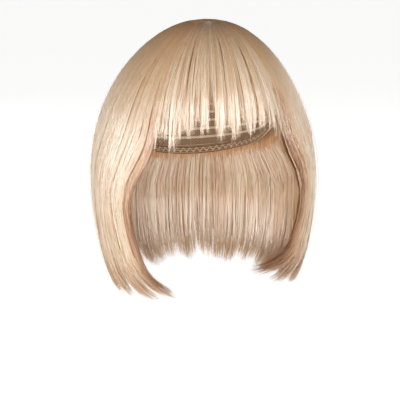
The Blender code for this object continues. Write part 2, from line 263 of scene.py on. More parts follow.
@dataclass
class HairShape:
    """The hair's outer surface as a grid of azimuths and shares, and how thick the hair is there."""

    head: HeadForm
    body: float = 0.042
    drop: float = 0.267
    tuck: float = 0.052
    top: float = 0.013
    fringe_drop: float = 0.097
    cap_wall: float = 0.0015
    top_round: float = 0.50
    side_round: float = 0.51
    tip_slope: float = 0.25
    whorl_radius: float = 0.020
    shares: int = 121
    grid: Array = field(init=False)
    cap_room: Array = field(init=False)
    rim: Array = field(init=False)

    def __post_init__(self) -> None:
        """Works out the grid: reach, height and the two parts of the outward direction."""
        self.grid = np.stack([self._fall_line(azimuth) for azimuth in range(361)])
        rims = [np.interp(self.head.rim_depth(a), -self.grid[a, :, 1], np.linspace(0, 1, self.shares)) for a in range(361)]
        self.rim = np.array(rims)
        self.cap_room = np.stack([self._room(azimuth) for azimuth in range(361)])

    def _fall_line(self, azimuth: float) -> Array:
        """One upright outline of the hair, from the whorl to the tips, at even steps of length."""
        fall = {
            name: around(tuple((f.azimuth, getattr(f, name)) for f in FALLS), azimuth)
            for name in ("body", "widest", "drop", "tuck", "hold", "sweep", "lift")
        }
        reach = float(self.head.reach(azimuth, self.cap_wall)) + self.body * fall["body"]
        widest = -self.drop * fall["widest"]
        lift = fall["lift"] if azimuth % 360 < 180 else 0.0
        end = -self.drop * (fall["drop"] - lift)
        tuck = self.tuck * fall["tuck"]
        crown = [
            (0, self.top),
            (reach * self.top_round, self.top),
            (reach, widest + (self.top - widest) * self.side_round),
            (reach, widest),
        ]
        hang = [
            (reach, widest),
            (reach, widest + (end - widest) * fall["hold"]),
            (reach - tuck * (1 - fall["sweep"]), end + tuck * self.tip_slope),
            (reach - tuck, end),
        ]
        t = np.linspace(0, 1, 90)[:, None]
        weights = np.concatenate([(1 - t) ** 3, 3 * (1 - t) ** 2 * t, 3 * (1 - t) * t**2, t**3], 1)
        points = np.concatenate([weights @ np.array(crown, float), (weights @ np.array(hang, float))[1:]])
        steps = np.linalg.norm(np.diff(points, axis=0), axis=1)
        along = np.concatenate([[0], np.cumsum(steps)]) / steps.sum()
        even = np.linspace(0, 1, self.shares)
        line = np.stack([np.interp(even, along, points[:, k]) for k in (0, 1)], 1)
        slope = np.gradient(line, axis=0)
        slope /= np.linalg.norm(slope, axis=1)[:, None]
        return np.concatenate([line, -slope[:, 1:], slope[:, :1]], 1)

    def _room(self, azimuth: int) -> Array:
        """How far the cap lies under the outer surface, at each share down to the rim."""
        swing = np.linspace(0, self.head.rim_swing(azimuth), 60)
        under = self.head.point(np.full(60, float(azimuth)), swing, self.cap_wall)
        flat = np.stack([np.hypot(under[:, 0] - self.head.whorl[0], under[:, 1] - self.head.whorl[1]), under[:, 2]], 1)
        gaps = np.linalg.norm(self.grid[azimuth, :, None, :2] - flat[None], axis=2)
        return gaps.min(1)

    def read(self, table: Array, azimuth: Array, share: Array) -> Array:
        """Reads a grid between its azimuths and shares.

        Args:
            table: an array whose first two axes are 361 azimuths and the shares.
            azimuth: in degrees, any turn.
            share: 0 to 1.

        Returns:
            The values there, with the table's further axes.
        """
        a = np.mod(azimuth, 360.0)
        s = np.clip(share, 0, 1) * (self.shares - 1)
        a0, s0 = np.minimum(a.astype(int), 359), np.minimum(s.astype(int), self.shares - 2)
        fa, fs = a - a0, s - s0
        if table.ndim > 2:
            fa, fs = fa[..., None], fs[..., None]
        low = table[a0, s0] * (1 - fs) + table[a0, s0 + 1] * fs
        high = table[a0 + 1, s0] * (1 - fs) + table[a0 + 1, s0 + 1] * fs
        return low * (1 - fa) + high * fa

    def surface(self, azimuth: Array, share: Array) -> tuple[Array, Array, Array]:
        """Points, outward directions and sideways directions of the hair's outer surface."""
        values = self.read(self.grid, azimuth, share)
        out = self.head.direction(azimuth)
        up = np.array([0.0, 0.0, 1.0])
        origin = np.array([*self.head.whorl, 0.0])
        point = origin + out * values[..., 0:1] + up * values[..., 1:2]
        normal = out * values[..., 2:3] + up * values[..., 3:4]
        turn = np.radians(azimuth)
        side = np.stack([np.cos(turn), np.sin(turn), np.zeros_like(turn)], -1)
        return point, normal, side

    def share_at_depth(self, azimuth: Array, depth: float) -> Array:
        """The share at which the hair is that deep, at each azimuth."""
        even = np.linspace(0, 1, self.shares)
        found = np.array([np.interp(depth, -self.grid[a, :, 1], even) for a in range(361)])
        return np.interp(np.mod(azimuth, 360.0), np.arange(361), found)


# Finishes


def hex_colour(value: str) -> tuple[float, float, float, float]:
    """A colour written as an sRGB hex value, in the linear numbers that Blender works in."""
    parts = [int(value.lstrip("#")[i : i + 2], 16) / 255 for i in (0, 2, 4)]
    linear = [p / 12.92 if p <= 0.04045 else ((p + 0.055) / 1.055) ** 2.4 for p in parts]
    return (*linear, 1.0)


def add_node(tree: bpy.types.NodeTree, kind: str, settings: dict | None = None, **links: object) -> bpy.types.Node:
    """Adds a node.

    Args:
        tree: the material's or the world's nodes.
        kind: the node's type.
        settings: its properties, by name.
        links: what goes in at each input, an output socket or a value. A name's underscores
            stand for spaces, and _0, _1 and _2 for inputs by number.

    Returns:
        The node.
    """
    node = tree.nodes.new(kind)
    for name, value in (settings or {}).items():
        setattr(node, name, value)
    for name, value in links.items():
        socket = node.inputs[int(name[1:])] if name[1:].isdigit() else node.inputs[name.replace("_", " ")]
        if isinstance(value, bpy.types.NodeSocket):
            tree.links.new(value, socket)
        else:
            socket.default_value = value
    return node


def blank_material(name: str) -> tuple[bpy.types.Material, bpy.types.NodeTree]:
    """A material with only its output node."""
    material = bpy.data.materials.new(name)
    material.use_nodes = True
    material.node_tree.nodes.clear()
    return material, material.node_tree


def colour_ramp(tree: bpy.types.NodeTree, factor: object, stops: tuple[tuple[float, str], ...]) -> bpy.types.NodeSocket:
    """A ramp through hex colours.

    Args:
        tree: the material's nodes.
        factor: the socket that the ramp reads.
        stops: pairs of place and hex colour.

    Returns:
        The ramp's colour.
    """
    ramp = add_node(tree, "ShaderNodeValToRGB", Fac=factor)
    elements = ramp.color_ramp.elements
    while len(elements) < len(stops):
        elements.new(0.5)
    for element, (place, colour) in zip(elements, stops):
        element.position = place
        element.color = hex_colour(colour)
    return ramp.outputs["Color"]


@dataclass(frozen=True)
class ModacrylicFibre:
    """Spun modacrylic wig fibre, combed straight: smooth, so each fibre keeps a long bright gloss.

    The spun filament is tinted golden blonde through and through, and its skin is drawn smooth, so
    the body of the hair looks warm and the light that glances off it stays white.
    """

    name: str = "spun_modacrylic_fibre"
    # darkest stop: for the dark strands and for painted shade
    lowlight_and_shade: str = "#84572F"
    honey: str = "#B67C46"
    cream: str = "#D8B790"
    platinum: str = "#F2E4D0"
    roughness: float = 0.36
    coat_roughness: float = 0.24

    def strand_material(self, crimped: bool = False) -> bpy.types.Material:
        """The fibre as separate strands, each with its own tone.

        Args:
            crimped: True for the bent roots of the knot, whose kinks break up the gloss.

        Returns:
            The material.
        """
        material, tree = blank_material(self.name + ("_crimped" if crimped else ""))
        tone = add_node(tree, "ShaderNodeAttribute", {"attribute_name": "tone"}).outputs["Fac"]
        shader = add_node(
            tree,
            "ShaderNodeBsdfPrincipled",
            Base_Color=colour_ramp(tree, tone, self._stops()),
            Roughness=0.7 if crimped else self.roughness,
            IOR=1.45 if crimped else 1.9,
            Coat_Weight=0.0 if crimped else 1.0,
            Coat_Roughness=self.coat_roughness,
            Coat_IOR=2.0,
        )
        add_node(tree, "ShaderNodeOutputMaterial", Surface=shader.outputs[0])
        return material

    def mass_material(self) -> bpy.types.Material:
        """The same fibre deep in the mass, where strands show only as fine dark and light lines, kept darker than the
        strands over it as painted shade.
        """
        material, tree = blank_material(self.name + "_mass")
        across = add_node(tree, "ShaderNodeUVMap", {"uv_map": "UVMap"}).outputs["UV"]
        # the map's u is in mm across the hair and its v in mm down it: fibres in bundles 0.8 mm wide
        lines = add_node(tree, "ShaderNodeMapping", Vector=across, Scale=(1.25, 0.012, 1.0))
        fine = add_node(
            tree,
            "ShaderNodeTexNoise",
            {"noise_dimensions": "2D"},
            Vector=lines.outputs[0],
            Scale=1.0,
            Detail=4.0,
            Roughness=0.65,
        )
        # painted shade: the mass keeps to the darker middle of the fibre's tones
        tone = add_node(
            tree,
            "ShaderNodeMapRange",
            Value=fine.outputs["Fac"],
            From_Min=0.3,
            From_Max=0.75,
            To_Min=0.3,
            To_Max=0.75,
        )
        relief = add_node(tree, "ShaderNodeBump", Height=fine.outputs["Fac"], Strength=0.8, Distance=0.0006)
        shader = add_node(
            tree,
            "ShaderNodeBsdfPrincipled",
            Base_Color=colour_ramp(tree, tone.outputs[0], self._stops()),
            Roughness=0.7,
            IOR=1.5,
            Normal=relief.outputs[0],
        )
        add_node(tree, "ShaderNodeOutputMaterial", Surface=shader.outputs[0])
        return material

    def _stops(self) -> tuple[tuple[float, str], ...]:
        """The fibre's colours from its darkest strands to its palest; painted shade reaches toward the dark end and
        painted highlight toward the pale end.
        """
        return ((0.0, self.lowlight_and_shade), (0.35, self.honey), (0.7, self.cream), (1.0, self.platinum))


@dataclass(frozen=True)
class KnittedNet:
    """Knitted polyamide stretch net with rows of weft sewn on: matt, with a diamond mesh."""

    name: str = "knitted_polyamide_net"
    yarn: str = "#C9A783"
    # painted shade in the holes of the net
    hollow_shade: str = "#5E432C"
    weft: str = "#EBD6B8"
    pitch_mm: float = 3.2
    row_mm: float = 11.0

    def material(self) -> bpy.types.Material:
        """The net with its weft rows, drawn on a map in millimetres around and down the cap."""
        material, tree = blank_material(self.name)
        place = add_node(tree, "ShaderNodeUVMap", {"uv_map": "UVMap"}).outputs["UV"]
        parts = add_node(tree, "ShaderNodeSeparateXYZ", Vector=place)
        turn = math.pi / self.pitch_mm
        waves = []
        for sign in (1.0, -1.0):
            down = add_node(tree, "ShaderNodeMath", {"operation": "MULTIPLY"}, _0=parts.outputs[1], _1=sign)
            slant = add_node(tree, "ShaderNodeMath", {"operation": "ADD"}, _0=parts.outputs[0], _1=down.outputs[0])
            scaled = add_node(tree, "ShaderNodeMath", {"operation": "MULTIPLY"}, _0=slant.outputs[0], _1=turn)
            wave = add_node(tree, "ShaderNodeMath", {"operation": "COSINE"}, _0=scaled.outputs[0])
            waves.append(add_node(tree, "ShaderNodeMath", {"operation": "ABSOLUTE"}, _0=wave.outputs[0]).outputs[0])
        mesh = add_node(tree, "ShaderNodeMath", {"operation": "MAXIMUM"}, _0=waves[0], _1=waves[1])
        yarn = add_node(tree, "ShaderNodeMapRange", {"interpolation_type": "SMOOTHSTEP"}, Value=mesh.outputs[0], From_Min=0.72, From_Max=0.95)
        row = add_node(tree, "ShaderNodeMath", {"operation": "PINGPONG"}, _0=parts.outputs[1], _1=self.row_mm / 2)
        band = add_node(tree, "ShaderNodeMapRange", {"interpolation_type": "SMOOTHSTEP"}, Value=row.outputs[0], From_Min=self.row_mm / 2 - 1.8, From_Max=self.row_mm / 2 - 1.2)
        stitch = add_node(tree, "ShaderNodeMath", {"operation": "MULTIPLY"}, _0=parts.outputs[0], _1=2 * math.pi / 1.8)
        stitches = add_node(tree, "ShaderNodeMath", {"operation": "SINE"}, _0=stitch.outputs[0])
        net = add_node(tree, "ShaderNodeMix", {"data_type": "RGBA"}, Factor=yarn.outputs[0], _6=hex_colour(self.hollow_shade), _7=hex_colour(self.yarn))
        colour = add_node(tree, "ShaderNodeMix", {"data_type": "RGBA"}, Factor=band.outputs[0], _6=net.outputs[2], _7=hex_colour(self.weft))
        stitched = add_node(tree, "ShaderNodeMath", {"operation": "MULTIPLY_ADD"}, _0=stitches.outputs[0], _1=0.25, _2=1.2)
        raised = add_node(tree, "ShaderNodeMix", {"data_type": "FLOAT"}, Factor=band.outputs[0], _2=yarn.outputs[0], _3=stitched.outputs[0])
        relief = add_node(tree, "ShaderNodeBump", Height=raised.outputs[0], Strength=0.9, Distance=0.0005)
        shader = add_node(
            tree,
            "ShaderNodeBsdfPrincipled",
            Base_Color=colour.outputs[2],
            Roughness=0.75,
            Sheen_Weight=0.15,
            Normal=relief.outputs[0],
        )
        add_node(tree, "ShaderNodeOutputMaterial", Surface=shader.outputs[0])
        return material


@dataclass(frozen=True)
class WovenElastic:
    """Woven rubber-cored elastic tape: matt, with fine ribs along it and a sewn zigzag."""

    name: str = "woven_elastic"
    tape: str = "#C4A079"
    # painted shade in the troughs of the ribs
    groove: str = "#745338"
    thread: str = "#E6D2B4"
    rib_mm: float = 3.0

    def material(self) -> bpy.types.Material:
        """The tape, drawn on a map in millimetres around the head and across the tape."""
        material, tree = blank_material(self.name)
        place = add_node(tree, "ShaderNodeUVMap", {"uv_map": "UVMap"}).outputs["UV"]
        parts = add_node(tree, "ShaderNodeSeparateXYZ", Vector=place)
        across = add_node(tree, "ShaderNodeMath", {"operation": "MULTIPLY"}, _0=parts.outputs[1], _1=2 * math.pi / self.rib_mm)
        ribs = add_node(tree, "ShaderNodeMath", {"operation": "SINE"}, _0=across.outputs[0])
        swing = add_node(tree, "ShaderNodeMath", {"operation": "PINGPONG"}, _0=parts.outputs[0], _1=3.0)
        line = add_node(tree, "ShaderNodeMath", {"operation": "MULTIPLY_ADD"}, _0=swing.outputs[0], _1=2.0, _2=3.0)
        off = add_node(tree, "ShaderNodeMath", {"operation": "SUBTRACT"}, _0=parts.outputs[1], _1=line.outputs[0])
        near = add_node(tree, "ShaderNodeMath", {"operation": "ABSOLUTE"}, _0=off.outputs[0])
        thread = add_node(tree, "ShaderNodeMapRange", {"interpolation_type": "SMOOTHSTEP"}, Value=near.outputs[0], From_Min=1.3, From_Max=0.6)
        # painted shade: the groove colour darkens the troughs of the ribs
        shade = add_node(tree, "ShaderNodeMapRange", Value=ribs.outputs[0], From_Min=-1.0, From_Max=1.0)
        tape = add_node(tree, "ShaderNodeMix", {"data_type": "RGBA"}, Factor=shade.outputs[0], _6=hex_colour(self.groove), _7=hex_colour(self.tape))
        colour = add_node(tree, "ShaderNodeMix", {"data_type": "RGBA"}, Factor=thread.outputs[0], _6=tape.outputs[2], _7=hex_colour(self.thread))
        raised = add_node(tree, "ShaderNodeMath", {"operation": "ADD"}, _0=shade.outputs[0], _1=thread.outputs[0])
        relief = add_node(tree, "ShaderNodeBump", Height=raised.outputs[0], Strength=0.8, Distance=0.0004)
        shader = add_node(tree, "ShaderNodeBsdfPrincipled", Base_Color=colour.outputs[2], Roughness=0.8, Sheen_Weight=0.2, Normal=relief.outputs[0])
        add_node(tree, "ShaderNodeOutputMaterial", Surface=shader.outputs[0])
        return material


@dataclass(frozen=True)
class OpalFloor:
    """Cast opal acrylic sheet lit evenly from below: pale all over, with only faint shadows."""

    name: str = "cast_opal_acrylic"
    colour: str = "#CFCECC"
    glow_colour: str = "#FFFFFF"
    glow: float = 0.74

    def material(self) -> bpy.types.Material:
        """The sheet, its satin surface very slightly uneven over a few centimetres."""
        material, tree = blank_material(self.name)
        place = add_node(tree, "ShaderNodeTexCoord").outputs["Object"]
        uneven = add_node(tree, "ShaderNodeTexNoise", Vector=place, Scale=25.0, Detail=3.0)
        rough = add_node(tree, "ShaderNodeMapRange", Value=uneven.outputs["Fac"], To_Min=0.70, To_Max=0.85)
        shader = add_node(
            tree,
            "ShaderNodeBsdfPrincipled",
            Base_Color=hex_colour(self.colour),
            Roughness=rough.outputs[0],
            Emission_Color=hex_colour(self.glow_colour),
            Emission_Strength=self.glow,
        )
        add_node(tree, "ShaderNodeOutputMaterial", Surface=shader.outputs[0])
        return material


# Building in Blender


def finished_object(name: str, mesh: bpy.types.Mesh, material: bpy.types.Material, nodes: tuple[str, ...]) -> bpy.types.Object:
    """Links a mesh as a piece of the wig.

    Args:
        name: the piece's name.
        mesh: its mesh, placed in the row's frame.
        material: its finish.
        nodes: the solids that it stands for.

    Returns:
        The object.
    """
    mesh.materials.append(material)
    piece = bpy.data.objects.new(name, mesh)
    bpy.context.scene.collection.objects.link(piece)
    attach(piece, "root")
    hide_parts(*nodes)
    log.info("%s: %d faces", name, len(mesh.polygons))
    return piece


Surface = Callable[[Array, Array], Array]


def shaped_sheet(
    name: str,
    segments: tuple[int, int],
    outer: Surface,
    inner: Surface,
    size_mm: tuple[float, float],
    closed: bool = False,
) -> bpy.types.Mesh:
    """A closed wall: a flat grid laid on one surface, then extruded to a second one.

    Args:
        name: the mesh's name.
        segments: faces across and down the grid.
        outer: points on the first surface, for arrays of u and v from 0 to 1.
        inner: points on the second surface.
        size_mm: how many millimetres the map's u and v run over.
        closed: True where the grid's two sides meet and are joined.

    Returns:
        The mesh, smooth, with its faces outward.
    """
    sheet = bmesh.new()
    bmesh.ops.create_grid(sheet, x_segments=segments[0], y_segments=segments[1], size=0.5, calc_uvs=True)
    uv_map = sheet.loops.layers.uv.verify()
    u_place, v_place = (sheet.verts.layers.float.new(key) for key in ("u", "v"))
    for face in sheet.faces:
        for loop in face.loops:
            place = loop.vert.co
            loop[uv_map].uv = ((place.x + 0.5) * size_mm[0], (place.y + 0.5) * size_mm[1])
    for vert in sheet.verts:
        vert[u_place], vert[v_place] = vert.co.x + 0.5, vert.co.y + 0.5

    def lay(verts: list[bmesh.types.BMVert], surface: Surface) -> None:
        """Moves the points to their places on a surface."""
        spots = np.array([(vert[u_place], vert[v_place]) for vert in verts])
        for vert, point in zip(verts, surface(spots[:, 0], spots[:, 1])):
            vert.co = point

    lay(list(sheet.verts), outer)
    if closed:
        bmesh.ops.remove_doubles(sheet, verts=list(sheet.verts), dist=1e-6)
    raised = bmesh.ops.extrude_face_region(sheet, geom=list(sheet.faces), use_keep_orig=True)
    lay([item for item in raised["geom"] if isinstance(item, bmesh.types.BMVert)], inner)
    bmesh.ops.recalc_face_normals(sheet, faces=list(sheet.faces))
    mesh = bpy.data.meshes.new(name)
    sheet.to_mesh(mesh)
    sheet.free()
    mesh.uv_layers[0].name = "UVMap"
    mesh.shade_smooth()
    mesh.set_sharp_from_angle(angle=math.radians(60))
    return mesh


@dataclass
class Strands:
    """Many strands, each a thin closed tube of three sides whose ridge faces out of the hair.

    Attributes:
        points: centre line of each strand, as (strand, ring, 3).
        outward: the way that each ring's ridge faces, in the same order.
        half_width: half the strand's width at each ring, in metres.
        tone: the strand's tone from 0, its darkest, to 1 at each ring, with painted shade and painted highlight worked
            into it.
    """

    points: Array
    outward: Array
    half_width: Array
    tone: Array

    def mesh(self, name: str) -> bpy.types.Mesh:
        """All the strands as one mesh, with their tone as an attribute of its points."""
        count, rings, _ = self.points.shape
        along = np.gradient(self.points, axis=1)
        along /= np.linalg.norm(along, axis=2, keepdims=True) + 1e-12
        ridge = self.outward - along * np.sum(self.outward * along, axis=2, keepdims=True)
        ridge /= np.linalg.norm(ridge, axis=2, keepdims=True) + 1e-12
        side = np.cross(along, ridge)
        width = self.half_width[..., None]
        corners = np.stack(
            [
                self.points + ridge * width * 0.9,
                self.points - ridge * width * 0.45 - side * width,
                self.points - ridge * width * 0.45 + side * width,
            ],
            axis=2,
        )
        first = np.arange(count)[:, None, None] * rings * 3 + np.arange(rings - 1)[None, :, None] * 3
        k = np.arange(3)[None, None, :]
        k_next = (k + 1) % 3
        walls = np.stack([first + k, first + 3 + k, first + 3 + k_next, first + k_next], -1).reshape(-1)
        root = np.arange(count)[:, None] * rings * 3
        caps = np.concatenate([root + [0, 1, 2], root + (rings - 1) * 3 + [0, 2, 1]], 1).reshape(-1)
        quads, ends = count * (rings - 1) * 3, count * 2
        mesh = bpy.data.meshes.new(name)
        mesh.vertices.add(count * rings * 3)
        mesh.vertices.foreach_set("co", corners.astype(np.float32).reshape(-1))
        mesh.loops.add(quads * 4 + ends * 3)
        mesh.loops.foreach_set("vertex_index", np.concatenate([walls, caps]).astype(np.int32))
        mesh.polygons.add(quads + ends)
        starts = np.concatenate([np.arange(quads) * 4, quads * 4 + np.arange(ends) * 3])
        mesh.polygons.foreach_set("loop_start", starts.astype(np.int32))
        mesh.update(calc_edges=True)
        mesh.validate()
        tone = mesh.attributes.new("tone", "FLOAT", "POINT")
        tone.data.foreach_set("value", np.repeat(self.tone.reshape(-1), 3).astype(np.float32))
        mesh.shade_smooth()
        # neighbours shade as one satin surface: each strand's normals turn less than its faces do
        lean = np.stack([ridge, ridge * 0.78 - side * 0.62, ridge * 0.78 + side * 0.62], axis=2)
        back = np.stack([-ridge, -ridge * 0.78 - side * 0.62, -ridge * 0.78 + side * 0.62], axis=2)
        faces = []
        for near, far, form in ((0, 1, lean), (1, 2, back), (2, 0, lean)):
            faces.append(np.stack([form[:, :-1, near], form[:, 1:, near], form[:, 1:, far], form[:, :-1, far]], 2))
        tips = np.repeat(np.stack([-along[:, 0], along[:, -1]], 1)[:, :, None], 3, 2)
        turned = np.concatenate([np.stack(faces, 2).reshape(-1, 3), tips.reshape(-1, 3)])
        mesh.normals_split_custom_set(turned.tolist())
        return mesh


class Layer(Enum):
    """Where in the thickness of the hair a layer of strands lies."""

    COVER = "cover"
    FILL = "fill"
    LINING = "lining"
    FLYAWAY = "flyaway"


@dataclass(frozen=True)
class LayerPlan:
    """How one layer of a section is made.

    Attributes:
        layer: where it lies.
        count: its strands.
        rings: points along each strand.
        clumps: bundles that the strands gather in.
        half_width: half a strand's width, in mm.
    """

    layer: Layer
    count: int
    rings: int
    clumps: int
    half_width: float


@dataclass
class HairSection:
    """One sewn section of hair: a core of its outer form in locks, and strands all over it.

    Attributes:
        node: the solid that it stands for.
        shape: the hair's surfaces.
        fibre: its finish.
        start: azimuth of one edge at the whorl.
        end: azimuth of its other edge.
        locks: its locks, in order.
        plans: its layers of strands.
        wall: thickness of the hair below the cap, in metres.
        fringe: True for the fringe, which ends level above the eyes.
        face_side: -1 where it starts at the face opening, 1 where it ends there.
        seed: of its random numbers.
    """

    node: str
    shape: HairShape
    fibre: ModacrylicFibre
    start: float
    end: float
    locks: tuple[Lock, ...]
    plans: tuple[LayerPlan, ...]
    wall: float = 0.015
    fringe: bool = False
    face_side: int = 0
    seed: int = 1

    TIP_WALL = 0.0035
    GROOVE = 0.0028
    FACE_INSET = 0.055

    def ring_shares(self, start: Array, end: Array, rings: int) -> Array:
        """Where the points of each strand stand: closer where the hair turns, as it does at its tips.

        Args:
            start: the share at which each strand starts, as a column.
            end: the share at which it ends.
            rings: points along it.

        Returns:
            The shares, as (strand, ring).
        """
        line = self.shape.grid[int((self.start + self.end) / 2) % 360]
        turn = np.arccos(np.clip(np.sum(line[1:, 2:] * line[:-1, 2:], axis=1), -1, 1))
        even = np.linspace(0, 1, self.shape.shares)
        measure = even + 0.6 * np.concatenate([[0], np.cumsum(turn)]) / turn.sum()
        low, high = np.interp(start, even, measure), np.interp(end, even, measure)
        return np.interp(blended(low, high, np.linspace(0, 1, rings)[None, :]), measure, even)

    def lock_form(self, place: Array) -> tuple[Array, Array, Array]:
        """The locks across the section.

        Args:
            place: 0 to 1 across it.

        Returns:
            How far the surface stands up, from 0 in a groove to 1; the length there as a share of
            the section's; and the place of the lock's middle.
        """
        widths = np.array([lock[0] for lock in self.locks])
        edges = np.concatenate([[0], np.cumsum(widths)]) / widths.sum()
        index = np.clip(np.searchsorted(edges, place, side="right") - 1, 0, len(widths) - 1)
        local = np.clip((place - edges[index]) / (edges[index + 1] - edges[index]), 0, 1)
        crest = 1 - np.abs(2 * local - 1) ** 2.6
        lengths = np.array([lock[1] for lock in self.locks])
        notches = np.array([lock[2] for lock in self.locks])
        notch = np.where(local < 0.5, notches[index - 1], notches[index])
        # where two sections meet, their hair mingles and no notch is left open
        meets_before = (index == 0) & (local < 0.5) & (self.face_side >= 0)
        meets_after = (index == len(widths) - 1) & (local >= 0.5) & (self.face_side <= 0)
        notch = np.where((meets_before | meets_after) & (not self.fringe), notch * 0.25, notch)
        point = np.abs(2 * local - 1) ** 1.7
        return crest, lengths[index] - notch * point, (edges[index] + edges[index + 1]) / 2

    def azimuth_at(self, place: Array, share: Array) -> Array:
        """Azimuths at places across the section and shares of the way down."""
        if not self.face_side:
            return blended(self.start, self.end, place)
        shares = np.linspace(0, 1, 101)
        edge = np.zeros(101)
        for (s0, a0), (s1, a1) in zip(FACE_EDGE, FACE_EDGE[1:]):
            inside = (shares >= s0) & (shares <= s1)
            edge[inside] = blended(a0, a1, eased((shares[inside] - s0) / (s1 - s0)))
        found = np.interp(share, shares, edge)
        if self.face_side < 0:
            return blended(found, self.end, place)
        return blended(self.start, -found, place)

    def ends(self, place: Array) -> Array:
        """The share at which the hair ends, at each place."""
        _, length, _ = self.lock_form(place)
        if not self.fringe:
            return length
        middle = self.azimuth_at(np.clip(place, 0, 1), np.zeros_like(place))
        return self.shape.share_at_depth(middle, self.shape.fringe_drop) * length

    def wall_at(self, place: Array, azimuth: Array, share: Array, end: Array) -> Array:
        """The hair's thickness: down to the cap on it, and the section's own wall below."""
        turn = np.mod(azimuth, 360.0)
        rim = np.interp(turn, np.arange(361), self.shape.rim)
        on_cap = self.shape.read(self.shape.cap_room, azimuth, np.minimum(share, rim))
        free = np.clip((share - rim) / np.maximum(end - rim, 0.02), 0, 1)
        wall = blended(self.wall, self.TIP_WALL, eased((free - 0.45) / 0.55))
        if self.face_side:
            inset = place if self.face_side < 0 else 1 - place
            wall = wall * blended(0.5, 1.0, eased(inset / 0.3))
        return blended(on_cap - 0.0012, wall, eased(free / 0.4))

    def first_share(self, azimuth: Array, radius: float) -> Array:
        """The share at which the hair is that far out from the whorl."""
        even = np.linspace(0, 1, self.shape.shares)
        half = self.shape.shares // 3
        found = np.array([np.interp(radius, self.shape.grid[a, :half, 0], even[:half]) for a in range(361)])
        return np.interp(np.mod(azimuth, 360.0), np.arange(361), found)

    def groove(self, place: Array, share: Array, wall: Array) -> Array:
        """How far the surface sinks between two locks."""
        crest, _, _ = self.lock_form(np.clip(place, 0, 1))
        return np.minimum(self.GROOVE * eased(share / 0.4), wall * 0.3) * (1 - crest)

    def edge_turn(self, place: Array, share: Array) -> Array:
        """How far the hair turns in beside the face, so that its edge there is round."""
        if not self.face_side:
            return np.zeros_like(place * share)
        inset = place if self.face_side < 0 else 1 - place
        return 0.0045 * np.clip(1 - inset / 0.10, 0, 1) ** 2 * eased((share - 0.36) / 0.14)

    def core(self) -> bpy.types.Object:
        """The section's outer form in locks, a little inside the strands that cover it."""

        def spot(u: Array, v: Array) -> tuple[Array, ...]:
            """Azimuth, share and end at each place of the grid."""
            top = self.azimuth_at(u, np.zeros_like(u))
            first = self.first_share(top, 0.018)
            end = self.ends(u) * (0.92 if self.fringe else 0.90)
            share = blended(first, end, v)
            # beside the face the core stops short of the edge, which is all strands
            inset = self.FACE_INSET * self.face_side * eased((share - 0.36) / 0.14)
            place = u - np.where(self.face_side < 0, 1 - u, u) * inset
            return self.azimuth_at(place, share), share, end

        def outer(u: Array, v: Array) -> Array:
            """Points just under the covering strands."""
            azimuth, share, end = spot(u, v)
            point, normal, _ = self.shape.surface(azimuth, share)
            wall = self.wall_at(u, azimuth, share, end)
            sunk = self.groove(u, share, wall) + self.edge_turn(u, share)
            return point - normal * np.minimum(0.0026 + sunk, wall * 0.78)[:, None]

        def inner(u: Array, v: Array) -> Array:
            """Points just under the strands of the lining."""
            azimuth, share, end = spot(u, v)
            point, normal, _ = self.shape.surface(azimuth, share)
            wall = self.wall_at(u, azimuth, share, end)
            return point - normal * (wall - np.minimum(0.0008, wall * 0.1))[:, None]

        span = abs(self.end - self.start)
        mesh = shaped_sheet(
            self.node + "_core",
            (int(span * 0.9), 44),
            outer,
            inner,
            (span * 1.9, 330.0),
        )
        return finished_object(self.node + "_core", mesh, self.fibre.mass_material(), (self.node,))

    def strands(self, plan: LayerPlan) -> Strands:
        """Lays out one layer's strands.

        Args:
            plan: the layer.

        Returns:
            The strands.
        """
        rng = np.random.default_rng(self.seed * 101 + list(Layer).index(plan.layer))
        count = plan.count

        def per_strand(low: float, high: float) -> Array:
            """A random number for each strand, as a column."""
            return rng.uniform(low, high, count)[:, None]

        place = ((np.arange(count) + rng.random(count)) / count)[:, None]
        middles = np.sort((np.arange(plan.clumps) + rng.uniform(0.1, 0.9, plan.clumps)) / plan.clumps)
        bounds = (middles[1:] + middles[:-1]) / 2
        clump = np.searchsorted(bounds, place[:, 0])
        edges = np.concatenate([[0], bounds, [1]])
        clump_half = (edges[clump + 1] - edges[clump])[:, None] / 2
        in_clump = (place - middles[clump][:, None]) / clump_half

        def per_clump(low: float, high: float) -> Array:
            """A random number for each strand's clump, as a column."""
            return rng.uniform(low, high, plan.clumps)[clump][:, None]

        _, _, lock_middle = self.lock_form(place)
        short = per_strand(0, 1) ** 2
        end = self.ends(place) * (1 + per_clump(-0.016, 0.008) + per_strand(-0.004, 0.006) - 0.05 * short)
        if self.fringe:
            end = end * (1 + per_clump(-0.055, 0.03) - 0.08 * short - 0.05 * np.abs(in_clump))
        else:
            end = end * (1 - 0.018 * np.abs(in_clump))
        top = self.azimuth_at(place, np.zeros_like(place))
        whorl = self.first_share(top, 0.003)
        if plan.layer is Layer.COVER:
            start = whorl + np.maximum(per_strand(-0.10, 0.16), 0)
        elif plan.layer is Layer.FLYAWAY:
            start = per_strand(0.02, 0.35)
        elif plan.layer is Layer.FILL:
            start = end * per_strand(0.45, 0.80)
        else:
            rim = np.interp(np.mod(top, 360.0), np.arange(361), self.shape.rim)
            start = rim * per_strand(0.94, 1.0)
        share = self.ring_shares(np.clip(start, 0, 1), np.clip(end, 0, 1), plan.rings)
        down = share / np.maximum(end, 1e-6)

